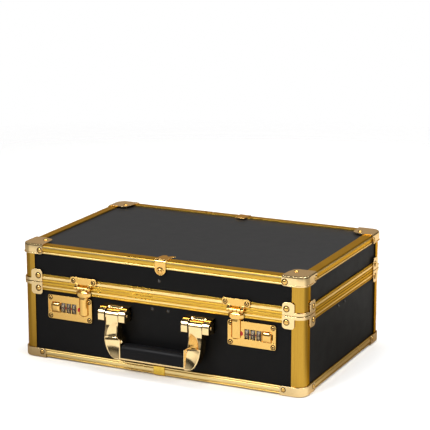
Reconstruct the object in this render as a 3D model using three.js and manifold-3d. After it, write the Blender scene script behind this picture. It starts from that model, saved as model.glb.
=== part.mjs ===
// A hard poker chip case: black panels held in gold aluminium rails, with corner caps,
// two combination latches, a drop handle on the front and a moulded chip tray inside.
// Millimetres, +Z up, the front (handle) side faces -Y, the caps stand on z = 0.
import * as THREE from "three";
import { mergeVertices } from "three/addons/utils/BufferGeometryUtils.js";
import Module from "manifold-3d";

// ---- driving dimensions ----
const caseWidth = 399.2; // over the outer faces of the rails
const caseDepth = 265.8;
const caseHeight = 154; // over the corner caps
const seamHeight = 103.6; // where lid and base meet
const cornerRadius = 12;
const gap = 0.3; // between pieces that lie against each other

const panelThickness = 4;
const panelInset = 2.1; // rails' outer face to the panels' outer face
const railWall = 1.8;
const railFlange = 12.9; // width of the rails seen from above and below
const railTop = 152.7;
const railBottom = 1.3;
const topRailLow = 141.3;
const bottomRailHigh = 12.2;
const lidRimHigh = 113.9;
const baseRimLow = 92.8;
const slotDepth = 7.8; // how far the rim rails and posts reach inwards
const tongueReach = 9.4;
const postFlange = 17.8;
const postInset = 0.4;

const capProud = 1.3; // the caps' outer faces stand this far off the rails
const capWall = 1;
const capFlangeFront = 31;
const capFlangeSide = 34;
const topCapLow = 140.9;
const bottomCapHigh = 12.6;

const earNear = 13.4; // seam bracket ears, measured from the case corner
const earFar = 29.8;
const earHeight = 16.6;
const bandHeight = 4;

const latchCentre = 129.2; // left and right of the middle
const latchHeight = 72.5;
const plateWidth = 65;
const plateHeight = 32;
const plateFront = 3; // plate's face in front of the front panel's face
const dialPitch = 8;
const dialRadius = 8.4;
const dialWidth = 6;
const dialDepth = 6.6; // dial axis behind the plate's face
const buttonTravel = 3.5;
const buttonHalf = 6.5;
const haspWidth = 12;

const armCentre = 59.1; // the handle's arms, left and right of the middle
const armWidth = 17.8;
const armGap = 1.4; // between an arm and the ears of its mount
const pinHeight = 76.4;
const pinReach = 11.7; // handle pin in front of the front panel's face
const earWidth = 8.8;
const gripBottom = 23.8;
const gripTop = 41;
const handleBottom = 20.2;
const lowerReach = 11.6; // the handle's lower half stands this far in front of its pin

const hingePinBack = 3.5; // hinge pin behind the rails' rear face
const knuckleRadius = 3.2;
const hingeLength = 330;
const knuckleCount = 9;

const trayTop = 80;
const channelRadius = 20.2; // takes 39 mm chips
const channelPitch = 44;
const channelLength = 130;

// ---- colours of the finishes ----
const finishes = {
  gold: { color: "#c99a38", roughness: 0.34, metalness: 1 },
  polishedGold: { color: "#e2c071", roughness: 0.16, metalness: 1 },
  black: { color: "#1c1c1d", roughness: 0.6, metalness: 0 },
  grip: { color: "#141414", roughness: 0.38, metalness: 0 },
  dial: { color: "#1a1712", roughness: 0.4, metalness: 0 },
  steel: { color: "#b9b5aa", roughness: 0.3, metalness: 1 },
  flock: { color: "#101012", roughness: 0.95, metalness: 0 },
  foam: { color: "#26262a", roughness: 1, metalness: 0 },
};

// ---- derived places ----
const halfX = caseWidth / 2;
const halfY = caseDepth / 2;
const panelX = halfX - panelInset;
const panelY = halfY - panelInset;
const panelInnerY = panelY - panelThickness;
const panelInnerX = panelX - panelThickness;
const plateFace = -panelY - plateFront;
const pinY = -panelY - pinReach;
const hingeY = halfY + hingePinBack;
const handleFront = pinY - lowerReach;
const shiftY = -(handleFront + hingeY + knuckleRadius) / 2; // centres the whole object on y = 0

const wasm = await Module();
wasm.setup();

// ---- solids ----
function solidFrom(geometry) {
  const bare = geometry.clone();
  bare.deleteAttribute("normal");
  bare.deleteAttribute("uv");
  const merged = mergeVertices(bare, 1e-4);
  return new wasm.Manifold(
    new wasm.Mesh({
      numProp: 3,
      vertProperties: merged.attributes.position.array,
      triVerts: new Uint32Array(merged.index.array),
    }),
  );
}

function block(x0, x1, y0, y1, z0, z1) {
  const geometry = new THREE.BoxGeometry(x1 - x0, y1 - y0, z1 - z0);
  geometry.translate((x0 + x1) / 2, (y0 + y1) / 2, (z0 + z1) / 2);
  return solidFrom(geometry);
}

function outline(points) {
  return new THREE.Shape(points.map(([u, v]) => new THREE.Vector2(u, v)));
}

function extrude(shape, depth, steps = 4) {
  return new THREE.ExtrudeGeometry(shape, { depth, bevelEnabled: false, curveSegments: steps });
}

function turnBasis(geometry, u, v, w) {
  return geometry.applyMatrix4(new THREE.Matrix4().makeBasis(u, v, w));
}

const unitX = new THREE.Vector3(1, 0, 0);
const unitY = new THREE.Vector3(0, 1, 0);
const unitZ = new THREE.Vector3(0, 0, 1);

// A shape drawn in (x, y), raised from z0 to z1.
function raised(shape, z0, z1, steps) {
  return solidFrom(extrude(shape, z1 - z0, steps).translate(0, 0, z0));
}

// A shape drawn in (y, z), run from x0 to x1.
function alongX(shape, x0, x1, steps) {
  return solidFrom(turnBasis(extrude(shape, x1 - x0, steps), unitY, unitZ, unitX).translate(x0, 0, 0));
}

// A shape drawn in (x, z), run from y0 to y1.
function alongY(shape, y0, y1, steps) {
  const geometry = extrude(shape, y1 - y0, steps);
  return solidFrom(turnBasis(geometry, unitX, unitZ, unitY.clone().negate()).translate(0, y1, 0));
}

function disc(radius, u, v) {
  const shape = new THREE.Shape();
  shape.absarc(u, v, radius, 0, 2 * Math.PI, false);
  return shape;
}

function roundedRectangle(u0, u1, v0, v1, radius) {
  const shape = new THREE.Shape();
  shape.moveTo(u0 + radius, v0);
  shape.lineTo(u1 - radius, v0);
  shape.absarc(u1 - radius, v0 + radius, radius, -Math.PI / 2, 0, false);
  shape.absarc(u1 - radius, v1 - radius, radius, 0, Math.PI / 2, false);
  shape.absarc(u0 + radius, v1 - radius, radius, Math.PI / 2, Math.PI, false);
  shape.absarc(u0 + radius, v0 + radius, radius, Math.PI, 1.5 * Math.PI, false);
  return shape;
}

function union(solids) {
  return solids.reduce((whole, piece) => whole.add(piece));
}

function turned(solid, quarterTurns) {
  const mesh = solid.getMesh();
  const geometry = geometryFrom(mesh);
  return solidFrom(geometry.rotateZ((quarterTurns * Math.PI) / 2));
}

function moved(solid, x, y, z) {
  return solidFrom(geometryFrom(solid.getMesh()).translate(x, y, z));
}

function mirroredX(solid) {
  const geometry = geometryFrom(solid.getMesh()).scale(-1, 1, 1);
  const index = geometry.index.array;
  for (let i = 0; i < index.length; i += 3) {
    [index[i + 1], index[i + 2]] = [index[i + 2], index[i + 1]];
  }
  return solidFrom(geometry);
}

function geometryFrom(mesh) {
  const positions = new Float32Array(mesh.numVert * 3);
  for (let i = 0; i < mesh.numVert; i++) {
    positions.set(mesh.vertProperties.subarray(i * mesh.numProp, i * mesh.numProp + 3), i * 3);
  }
  const geometry = new THREE.BufferGeometry();
  geometry.setAttribute("position", new THREE.BufferAttribute(positions, 3));
  geometry.setIndex(new THREE.BufferAttribute(new Uint32Array(mesh.triVerts), 1));
  return geometry;
}

// A closed loop of rail: the profile, in (outwards, z), swept round the case's rounded outline.
function loopRail(profile, cornerSteps = 4) {
  const rings = [];
  for (let corner = 0; corner < 4; corner++) {
    for (let step = 0; step <= cornerSteps; step++) {
      const angle = ((corner + step / cornerSteps) * Math.PI) / 2;
      const signX = corner === 0 || corner === 3 ? 1 : -1;
      const signY = corner < 2 ? 1 : -1;
      rings.push(
        profile.map(([out, z]) => {
          const radius = Math.max(cornerRadius + out, 0.8);
          const centreX = signX * (halfX + out - radius);
          const centreY = signY * (halfY + out - radius);
          return [centreX + radius * Math.cos(angle), centreY + radius * Math.sin(angle), z];
        }),
      );
    }
  }
  const count = profile.length;
  const index = [];
  for (let i = 0; i < rings.length; i++) {
    const next = (i + 1) % rings.length;
    for (let j = 0; j < count; j++) {
      const after = (j + 1) % count;
      index.push(i * count + j, next * count + j, next * count + after);
      index.push(i * count + j, next * count + after, i * count + after);
    }
  }
  const geometry = new THREE.BufferGeometry();
  geometry.setAttribute("position", new THREE.Float32BufferAttribute(rings.flat(2), 3));
  geometry.setIndex(index);
  return solidFrom(geometry);
}

// The same profile as a straight bar on each of the four sides, between the corner posts.
function straightRails(profile) {
  const endX = halfX - postFlange - gap;
  const endY = halfY - postFlange - gap;
  const side = (distance, reach) =>
    alongY(outline(profile.map(([out, z]) => [distance + out, z])), -reach, reach);
  return union([
    side(halfX, endY),
    turned(side(halfY, endX), 1),
    turned(side(halfX, endY), 2),
    turned(side(halfY, endX), 3),
  ]);
}

// ---- the scene graph ----
const object = new THREE.Group();
const caseFrame = new THREE.Group();
caseFrame.position.y = shiftY;
object.add(caseFrame);

const materials = Object.fromEntries(
  Object.entries(finishes).map(([name, finish]) => [name, () => new THREE.MeshStandardMaterial(finish)]),
);

function addPiece(name, finish, solid) {
  const geometry = geometryFrom(solid.getMesh()).toNonIndexed();
  geometry.computeVertexNormals();
  const mesh = new THREE.Mesh(geometry, materials[finish]());
  mesh.name = name;
  caseFrame.add(mesh);
}

const corners = [
  { name: "back_right", x: halfX, y: halfY, turns: 0 },
  { name: "back_left", x: -halfX, y: halfY, turns: 1 },
  { name: "front_left", x: -halfX, y: -halfY, turns: 2 },
  { name: "front_right", x: halfX, y: -halfY, turns: 3 },
];

// Corner pieces are drawn at the back right corner, at the origin, with the case towards -x and -y.
// Their flange lengths swap at every other quarter turn.
function addCornerSet(prefix, finish, build) {
  for (const corner of corners) {
    const solid = build(corner.turns % 2 === 0);
    addPiece(prefix + corner.name, finish, moved(turned(solid, corner.turns), corner.x, corner.y, 0));
  }
}

// ---- rails ----
function addRails() {
  const inner = -railWall;
  addPiece(
    "base_bottom_rail",
    "gold",
    loopRail([
      [-railFlange, railBottom],
      [-1.2, railBottom],
      [-0.2, 2],
      [0, 3],
      [-0.6, 3.4],
      [-0.6, 3.9],
      [0, 4.3],
      [0.2, 6.6],
      [0, 9],
      [-0.6, 9.5],
      [-0.1, 10.1],
      [-0.1, 11.6],
      [-0.7, bottomRailHigh],
      [inner, bottomRailHigh],
      [inner, railBottom + railWall],
      [-railFlange, railBottom + railWall],
    ]),
  );
  addPiece(
    "lid_top_rail",
    "gold",
    loopRail([
      [-railFlange, railTop - railWall],
      [inner, railTop - railWall],
      [inner, topRailLow],
      [-0.8, topRailLow],
      [-0.2, 141.8],
      [-0.2, 143.4],
      [-0.8, 143.9],
      [-0.8, 144.5],
      [0, 145],
      [0.2, 147.6],
      [0, 150.4],
      [-0.7, 152],
      [-2.2, railTop],
      [-railFlange, railTop],
    ]),
  );
  const lidSeam = seamHeight + gap / 2 + 0.1;
  const lidWeb = loopRail([
    [-slotDepth, lidSeam],
    [-0.3, lidSeam],
    [-0.3, lidSeam + railWall],
    [-slotDepth, lidSeam + railWall],
  ]);
  const lidFlange = straightRails([
    [inner, lidSeam],
    [-0.3, lidSeam],
    [0, lidSeam + 0.6],
    [0, 106.4],
    [-0.7, 106.9],
    [-0.7, 107.3],
    [0, 107.8],
    [0.15, 109.4],
    [0, 110.9],
    [-0.7, 111.4],
    [-0.7, 111.8],
    [-0.1, 112.3],
    [-0.4, lidRimHigh],
    [inner, lidRimHigh],
  ]);
  const lidInner = straightRails([
    [-slotDepth, lidSeam],
    [-6.4, lidSeam],
    [-6.4, 110.4],
    [-slotDepth, 110.4],
  ]);
  addPiece("lid_rim_rail", "gold", union([lidWeb, lidFlange, lidInner]));

  const baseSeam = seamHeight - gap / 2 - 0.1;
  const baseWeb = loopRail([
    [-tongueReach, baseSeam - railWall],
    [-0.3, baseSeam - railWall],
    [-0.3, baseSeam],
    [-slotDepth - gap, baseSeam],
    [-slotDepth - gap, 106.2],
    [-tongueReach, 106.2],
  ]);
  const baseFlange = straightRails([
    [inner, baseRimLow],
    [-0.4, baseRimLow],
    [-0.1, 94.4],
    [-0.7, 94.9],
    [-0.7, 95.3],
    [0, 95.8],
    [0.15, 97.4],
    [0, 99],
    [-0.7, 99.5],
    [-0.7, 99.9],
    [0, 100.4],
    [0, baseSeam - 0.6],
    [-0.3, baseSeam],
    [inner, baseSeam],
  ]);
  const baseInner = straightRails([
    [-slotDepth, 96.6],
    [-6.4, 96.6],
    [-6.4, baseSeam],
    [-slotDepth, baseSeam],
  ]);
  addPiece("base_rim_rail", "gold", union([baseWeb, baseFlange, baseInner]));
}

// ---- panels ----
function addPanels() {
  const endX = halfX - cornerRadius - gap;
  const endY = halfY - cornerRadius - gap;
  const floorLow = railBottom + railWall + gap;
  const topHigh = railTop - railWall - gap;
  const radius = cornerRadius - panelInset;
  const flat = roundedRectangle(-panelX, panelX, -panelY, panelY, radius);
  addPiece("base_floor_panel", "black", raised(flat, floorLow, floorLow + panelThickness));
  addPiece("lid_top_panel", "black", raised(flat, topHigh - panelThickness, topHigh));

  const levels = {
    base: [floorLow + panelThickness + gap, seamHeight - gap / 2 - 0.1 - railWall - gap],
    lid: [seamHeight + gap / 2 + 0.1 + railWall + gap, topHigh - panelThickness - gap],
  };
  for (const [shell, [low, high]] of Object.entries(levels)) {
    let front = block(-endX, endX, -panelY, -panelInnerY, low, high);
    if (shell === "base") {
      for (const side of [-1, 1]) {
        const hole = [side * latchCentre - 29, side * latchCentre + 29];
        front = front.subtract(block(...hole, -panelY - 1, -panelInnerY + 1, latchHeight - 12, latchHeight + 12));
      }
    }
    addPiece(shell + "_front_panel", "black", front);
    addPiece(shell + "_back_panel", "black", block(-endX, endX, panelInnerY, panelY, low, high));
    addPiece(shell + "_left_panel", "black", block(-panelX, -panelInnerX, -endY, endY, low, high));
    addPiece(shell + "_right_panel", "black", block(panelInnerX, panelX, -endY, endY, low, high));
  }
}

// ---- corner posts: a rounded skin with a slot for each of the two panels that meet there ----
function postSection() {
  const skin = -postInset;
  const core = -cornerRadius + 0.3;
  const shape = new THREE.Shape();
  shape.moveTo(-postFlange, skin);
  shape.lineTo(-postFlange, -railWall);
  shape.lineTo(core, -railWall);
  shape.lineTo(core, -panelInset - panelThickness - gap);
  shape.lineTo(-postFlange, -panelInset - panelThickness - gap);
  shape.lineTo(-postFlange, -slotDepth);
  shape.lineTo(-slotDepth, -slotDepth);
  shape.lineTo(-slotDepth, -postFlange);
  shape.lineTo(-panelInset - panelThickness - gap, -postFlange);
  shape.lineTo(-panelInset - panelThickness - gap, core);
  shape.lineTo(-railWall, core);
  shape.lineTo(-railWall, -postFlange);
  shape.lineTo(skin, -postFlange);
  shape.lineTo(skin, -cornerRadius);
  shape.absarc(-cornerRadius, -cornerRadius, cornerRadius - postInset, 0, Math.PI / 2, false);
  return shape;
}

function addPosts() {
  const basePost = raised(postSection(), bottomRailHigh + gap, seamHeight - railWall - 0.6, 6);
  const lidPost = raised(postSection(), seamHeight + railWall + 0.6, topRailLow - gap, 6);
  addCornerSet("base_post_", "gold", () => basePost);
  addCornerSet("lid_post_", "gold", () => lidPost);
}

// ---- corner caps ----
function cornerShape(proud) {
  const shape = new THREE.Shape();
  const radius = cornerRadius + proud;
  shape.moveTo(-60, -60);
  shape.lineTo(proud, -60);
  shape.lineTo(proud, -cornerRadius);
  shape.absarc(-cornerRadius, -cornerRadius, radius, 0, Math.PI / 2, false);
  shape.lineTo(-60, proud);
  return shape;
}

// A block with the case's rounded corner and a rounded upper edge.
function softCorner(proud, top, edge) {
  const geometry = new THREE.ExtrudeGeometry(cornerShape(proud), {
    depth: 60,
    bevelEnabled: true,
    bevelThickness: edge,
    bevelSize: edge,
    bevelOffset: -edge,
    bevelSegments: 2,
    curveSegments: 6,
  });
  return solidFrom(geometry.translate(0, 0, top - 60 - edge));
}

function capFlange(reach, low, high) {
  const rounding = 4;
  const shape = new THREE.Shape();
  shape.moveTo(-reach + rounding, low);
  shape.lineTo(6, low);
  shape.lineTo(6, high);
  shape.lineTo(-reach, high);
  shape.lineTo(-reach, low + rounding);
  shape.absarc(-reach + rounding, low + rounding, rounding, Math.PI, 1.5 * Math.PI, false);
  return shape;
}

function topTab(reachX, reachY) {
  const tip = 7;
  const shape = new THREE.Shape();
  shape.moveTo(6, 6);
  shape.lineTo(-reachX, 6);
  shape.lineTo(-reachX, -4);
  shape.lineTo(-reachX + 1, -20);
  shape.absarc(-reachX + 1 + tip, -reachY + 3 + tip, tip, Math.PI, 1.5 * Math.PI, false);
  shape.lineTo(-20, -reachY + 1);
  shape.lineTo(-4, -reachY);
  shape.lineTo(6, -reachY);
  return shape;
}

function topCap(reachX, reachY) {
  const skin = softCorner(capProud, caseHeight, 2.6).subtract(
    softCorner(capProud - capWall, caseHeight - capWall, 1.8),
  );
  const bead = softCorner(capProud + 0.7, caseHeight, 2.6).subtract(
    softCorner(capProud - capWall, caseHeight - capWall, 1.8),
  );
  const flangeX = alongY(capFlange(reachX, topCapLow, caseHeight + 1), -6, 6);
  const flangeY = alongX(capFlange(reachY, topCapLow, caseHeight + 1), -6, 6);
  const tab = raised(topTab(reachX, reachY), 149, caseHeight + 1, 4);
  const corner = block(-capFlangeFront + 8, 6, -capFlangeFront + 8, 6, topCapLow, topCapLow + 1.4);
  return union([
    skin.intersect(flangeX.add(flangeY)),
    skin.intersect(tab),
    bead.intersect(flangeX.add(flangeY)).intersect(corner),
  ]);
}

function upsideDown(solid) {
  const geometry = geometryFrom(solid.getMesh()).scale(1, 1, -1);
  const index = geometry.index.array;
  for (let i = 0; i < index.length; i += 3) {
    [index[i + 1], index[i + 2]] = [index[i + 2], index[i + 1]];
  }
  return solidFrom(geometry);
}

function bottomCap(reachX, reachY) {
  const skin = upsideDown(
    softCorner(capProud, 0, 2).subtract(softCorner(capProud - capWall, -capWall, 1.4)),
  );
  const low = -1;
  const flange = (reach) => {
    const shape = new THREE.Shape();
    const rounding = 3;
    shape.moveTo(-reach, low);
    shape.lineTo(6, low);
    shape.lineTo(6, bottomCapHigh);
    shape.lineTo(-reach + rounding, bottomCapHigh);
    shape.absarc(-reach + rounding, bottomCapHigh - rounding, rounding, Math.PI / 2, Math.PI, false);
    return shape;
  };
  const sole = outline([
    [6, 6],
    [-reachX, 6],
    [-reachX, -10],
    [-22, -24],
    [-10, -reachY],
    [6, -reachY],
  ]);
  return union([
    skin.intersect(alongY(flange(reachX), -6, 6).add(alongX(flange(reachY), -6, 6))),
    skin.intersect(raised(sole, low, 4)),
  ]);
}

function addCaps() {
  const build = (maker, alongFront, alongSide) => {
    const straight = maker(alongFront, alongSide);
    const crossed = maker(alongSide, alongFront);
    return (even) => (even ? straight : crossed);
  };
  addCornerSet("top_cap_", "polishedGold", build(topCap, capFlangeFront, capFlangeSide));
  addCornerSet("bottom_cap_", "polishedGold", build(bottomCap, capFlangeFront + 1.5, capFlangeSide - 1));
}

// ---- seam brackets: a band round the corner with an ear at each end ----
function earShape(low, high, roundTop) {
  const rounding = 4.5;
  const shape = new THREE.Shape();
  const left = -earFar;
  const right = -earNear;
  if (roundTop) {
    shape.moveTo(left, low);
    shape.lineTo(right, low);
    shape.lineTo(right, high - rounding);
    shape.absarc(right - rounding, high - rounding, rounding, 0, Math.PI / 2, false);
    shape.lineTo(left + rounding, high);
    shape.absarc(left + rounding, high - rounding, rounding, Math.PI / 2, Math.PI, false);
  } else {
    shape.moveTo(left, high);
    shape.lineTo(left, low + rounding);
    shape.absarc(left + rounding, low + rounding, rounding, Math.PI, 1.5 * Math.PI, false);
    shape.lineTo(right - rounding, low);
    shape.absarc(right - rounding, low + rounding, rounding, -Math.PI / 2, 0, false);
    shape.lineTo(right, high);
  }
  return shape;
}

function seamBracket(bandLow, bandHigh, earLow, earHigh, roundTop) {
  const inner = 0.3;
  const outer = inner + 1.2;
  const ring = raised(cornerShape(outer), bandLow, bandHigh, 6).subtract(
    raised(cornerShape(inner), bandLow - 1, bandHigh + 1, 6),
  );
  const reach = block(-earFar + 1, 6, -earFar + 1, 6, bandLow, bandHigh);
  const ear = earShape(earLow, earHigh, roundTop);
  return union([ring.intersect(reach), alongY(ear, inner, outer), alongX(ear, inner, outer)]);
}

function addSeamBrackets() {
  const lidLow = seamHeight + 0.4;
  const baseHigh = seamHeight - 0.4;
  const lidBracket = seamBracket(lidLow, lidLow + bandHeight, lidLow, lidLow + earHeight, true);
  const baseBracket = seamBracket(baseHigh - bandHeight, baseHigh, baseHigh - earHeight, baseHigh, false);
  addCornerSet("lid_bracket_", "polishedGold", () => lidBracket);
  addCornerSet("base_bracket_", "polishedGold", () => baseBracket);
}

// ---- latches; drawn for the right side, then mirrored. The hasp is on the handle's side ----
const dialCentres = [-1, 0, 1].map((place) => latchCentre + 1.8 + place * dialPitch);
const dialY = plateFace + dialDepth;
const haspX = latchCentre - plateWidth / 2 + haspWidth / 2 + 5.5;
const haspPivotY = -halfY - 3.4;
const haspPivotZ = 102.6;
const haspBarrel = 2.6;
const buttonX = latchCentre + 20.5;

function latchPlate() {
  const left = latchCentre - plateWidth / 2;
  const low = latchHeight - plateHeight / 2;
  const face = roundedRectangle(left, left + plateWidth, low, low + plateHeight, 3);
  const plate = alongY(face, plateFace, -panelY - gap, 3);
  const back = plateFace + dialDepth + dialRadius + 3;
  const housing = block(latchCentre - 28, latchCentre + 28, -panelY - 1, back, latchHeight - 11, latchHeight + 11);
  const dialsLeft = dialCentres[0] - dialWidth / 2 - 0.5;
  const dialsRight = dialCentres[2] + dialWidth / 2 + 0.5;
  const room = 9.2;
  const dialRoom = block(dialsLeft, dialsRight, plateFace + 1.1, back - 1.5, latchHeight - room, latchHeight + room);
  const opening = (x0, x1, depth, half) =>
    block(x0, x1, plateFace - 1, plateFace + depth, latchHeight - half, latchHeight + half);
  const reach = dialWidth / 2 + 0.4;
  const windows = dialCentres.map((x) => opening(x - reach, x + reach, 2, 6.6));
  const spindle = alongX(disc(2.2, dialY, latchHeight), dialsLeft - 0.5, dialsRight + 0.5, 5);
  const slot = opening(buttonX - 4.3, buttonX + 4.3 + buttonTravel, 7, 3.6);
  const recess = opening(buttonX - buttonHalf - 0.4, buttonX + buttonHalf + 0.4 + buttonTravel, 0.8, 7.3);
  return union([plate.add(housing).subtract(union([dialRoom, ...windows, slot, recess])), spindle]);
}

function dial(x) {
  const bore = alongX(disc(2.6, dialY, latchHeight), x - dialWidth, x + dialWidth, 5);
  return alongX(disc(dialRadius, dialY, latchHeight), x - dialWidth / 2, x + dialWidth / 2, 10).subtract(bore);
}

function latchButton() {
  const face = roundedRectangle(buttonX - buttonHalf, buttonX + buttonHalf, latchHeight - 6.8, latchHeight + 6.8, 2.4);
  const proud = 3.4;
  const geometry = new THREE.ExtrudeGeometry(face, {
    depth: proud - 1.4 + 0.3,
    bevelEnabled: true,
    bevelThickness: 1.4,
    bevelSize: 1.4,
    bevelOffset: -1.4,
    bevelSegments: 2,
    curveSegments: 3,
  });
  const tipped = turnBasis(geometry, unitX, unitZ, unitY.clone().negate()).translate(0, plateFace, 0);
  const cap = solidFrom(tipped).intersect(block(buttonX - 8, buttonX + 8, plateFace - 9, plateFace + 0.5, 0, 100));
  const stem = block(buttonX - 4, buttonX + 4, plateFace - 0.5, plateFace + 6, latchHeight - 3.2, latchHeight + 3.2);
  return cap.add(stem);
}

function hasp() {
  const inner = plateFace - 0.6;
  const outer = inner - 3.6;
  const low = latchHeight - 7.2;
  const barrel = alongX(disc(haspBarrel, haspPivotY, haspPivotZ), haspX - 7.2, haspX + 7.2, 5);
  const bore = alongX(disc(1.5, haspPivotY, haspPivotZ), haspX - 9, haspX + 9, 4);
  const body = new THREE.Shape();
  body.moveTo(haspX - 6, low + 2.5);
  body.absarc(haspX - 3.5, low + 2.5, 2.5, Math.PI, 1.5 * Math.PI, false);
  body.absarc(haspX + 3.5, low + 2.5, 2.5, -Math.PI / 2, 0, false);
  body.lineTo(haspX + 6, 90);
  body.lineTo(haspX + 10.6, 93);
  body.lineTo(haspX + 10.6, 98.2);
  body.lineTo(haspX + 7.2, 99.4);
  body.lineTo(haspX + 7.2, haspPivotZ);
  body.lineTo(haspX - 7.2, haspPivotZ);
  body.lineTo(haspX - 7.2, 99.4);
  body.lineTo(haspX - 10.6, 98.2);
  body.lineTo(haspX - 10.6, 93);
  body.lineTo(haspX - 6, 90);
  const strap = alongY(body, outer, inner, 3);
  const knuckleRoom = block(haspX - 20, haspX + 20, haspPivotY - 0.2, -100, 99.9, 120);
  const pad = alongY(roundedRectangle(haspX - 5, haspX + 5, low + 1.5, low + 20, 2), outer - 1, inner - 1, 3);
  return union([strap.subtract(knuckleRoom), pad, barrel]).subtract(bore);
}

function haspBracket() {
  const back = -halfY - 0.5;
  const front = back - 1.4;
  const plate = alongY(roundedRectangle(haspX - 19, haspX + 19, 107.2, 116.6, 2.4), front, back, 3);
  const lugs = [-1, 1].map((side) => {
    const x0 = haspX + side * 9.6 - 1.9;
    const lug = outline([
      [back, 108.5],
      [back, 104.6],
      [haspPivotY + 1, 100.4],
      [haspPivotY - 1.4, 100.4],
      [haspPivotY - 2.5, 101.6],
      [haspPivotY - 2.5, 104],
      [haspPivotY - 1.2, 105.2],
      [front, 108.5],
    ]);
    return alongX(lug, x0, x0 + 3.8);
  });
  const pin = alongX(disc(1.1, haspPivotY, haspPivotZ), haspX - 9, haspX + 9, 4);
  return union([plate, ...lugs, pin]);
}

function addLatches() {
  const sides = { left: mirroredX, right: (solid) => solid };
  for (const [side, place] of Object.entries(sides)) {
    addPiece("latch_plate_" + side, "polishedGold", place(latchPlate()));
    addPiece("latch_button_" + side, "polishedGold", place(latchButton()));
    addPiece("hasp_" + side, "polishedGold", place(hasp()));
    addPiece("hasp_bracket_" + side, "polishedGold", place(haspBracket()));
    dialCentres.forEach((x, place3) => {
      const number = side === "right" ? place3 + 1 : 3 - place3;
      addPiece("dial_" + side + "_" + number, "dial", place(dial(x)));
    });
  }
}

// ---- handle ----
function handleMount(side) {
  const x = side * armCentre;
  const foot = alongY(roundedRectangle(x - 22, x + 22, 64, 88, 3), -panelY - 2.6, -panelY - gap, 3);
  const inner = armWidth / 2 + armGap;
  const body = outline([
    [-panelY - 2, 88],
    [-panelY - 2, 66],
    [pinY + 7.8, 68],
    [pinY + 7.8, 85.5],
  ]);
  const ear = new THREE.Shape();
  ear.moveTo(-panelY - 1, 87.6);
  ear.lineTo(-panelY - 1, 66.6);
  ear.lineTo(pinY, pinHeight - 8);
  ear.absarc(pinY, pinHeight, 8, -Math.PI / 2, -1.5 * Math.PI, true);
  const ears = [-1, 1].map((end) => {
    const x0 = x + end * (inner + earWidth / 2) - earWidth / 2;
    return alongX(ear, x0, x0 + earWidth, 7);
  });
  const reach = inner + earWidth;
  const pin = alongX(disc(2.4, pinY, pinHeight), x - inner - 1, x + inner + 1, 5);
  return union([foot, alongX(body, x - reach, x + reach), ...ears, pin]);
}

function handleFrame() {
  const front = pinY - 7;
  const back = pinY + 5;
  const outerX = armCentre + armWidth / 2;
  const innerX = armCentre - armWidth / 2;
  const capInner = innerX - 5.2;
  const bendX = 18.7;
  const bendZ = 32;
  const end = new THREE.Shape();
  end.moveTo(capInner, handleBottom);
  end.lineTo(outerX - bendX, handleBottom);
  end.absellipse(outerX - bendX, handleBottom + bendZ, bendX, bendZ, -Math.PI / 2, 0, false);
  end.lineTo(outerX, pinHeight);
  end.lineTo(innerX, pinHeight);
  end.lineTo(innerX, 49);
  end.lineTo(innerX - 1.6, 46.5);
  end.lineTo(capInner, 45);
  const side = alongY(end, front, back, 8);
  const barrel = alongX(disc(7, pinY, pinHeight), innerX, outerX, 7);
  const armRoom = alongX(
    outline([
      [pinY + 2, 90],
      [pinY + 2, 56],
      [pinY + 20, 40],
      [pinY + 20, 90],
    ]),
    innerX - 20,
    outerX + 5,
  );
  const lower = alongY(end, handleFront, front + 1, 8).intersect(
    block(0, 200, handleFront - 1, front + 2, 0, 48),
  );
  const scoop = new THREE.Shape();
  scoop.moveTo(innerX + 1.4, 69);
  scoop.quadraticCurveTo(innerX + 11.5, 63, outerX - 2.4, 50.5);
  scoop.lineTo(innerX + 1.4, 48.4);
  const hollow = alongY(scoop, front - 5, front + 4.4, 5);
  const bore = alongX(disc(2.8, pinY, pinHeight), innerX - 1, outerX + 1, 5);
  const arm = union([side.subtract(armRoom), barrel, lower]).subtract(hollow).subtract(bore);
  const bar = block(-capInner - 1, capInner + 1, handleFront + 0.8, pinY + 4, handleBottom, gripBottom - gap);
  const core = block(-capInner - 1, capInner + 1, pinY - 3.5, pinY + 2.5, 29.5, 38);
  const rib = block(-3, 3, pinY - 3, pinY + 2, handleBottom + 1, 31);
  return union([arm, mirroredX(arm), bar, core, rib]);
}

function handleGrip() {
  const capInner = armCentre - armWidth / 2 - 5.2;
  const reach = capInner - gap;
  const section = new THREE.Shape();
  const y0 = handleFront + 0.6;
  const y1 = pinY + 5.4;
  section.moveTo(y0 + 1, gripBottom);
  section.lineTo(y1 - 2, gripBottom);
  section.quadraticCurveTo(y1, gripBottom, y1, gripBottom + 3);
  section.lineTo(y1, gripTop - 7);
  section.quadraticCurveTo(y1 - 1, gripTop, y1 - 8, gripTop);
  section.quadraticCurveTo(y0, gripTop - 0.5, y0, gripTop - 8);
  section.lineTo(y0, gripBottom + 1);
  const whole = alongX(section, -reach, reach, 4);
  const bore = block(-reach - 1, reach + 1, pinY - 3.8, pinY + 2.8, 29.2, 38.3);
  const ribRoom = block(-3.3, 3.3, pinY - 3.3, pinY + 2.3, 20, 32);
  return whole.subtract(bore).subtract(ribRoom);
}

function addHandle() {
  addPiece("handle_mount_left", "polishedGold", handleMount(-1));
  addPiece("handle_mount_right", "polishedGold", handleMount(1));
  addPiece("handle_frame", "polishedGold", handleFrame());
  addPiece("handle_grip", "grip", handleGrip());
}

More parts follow.
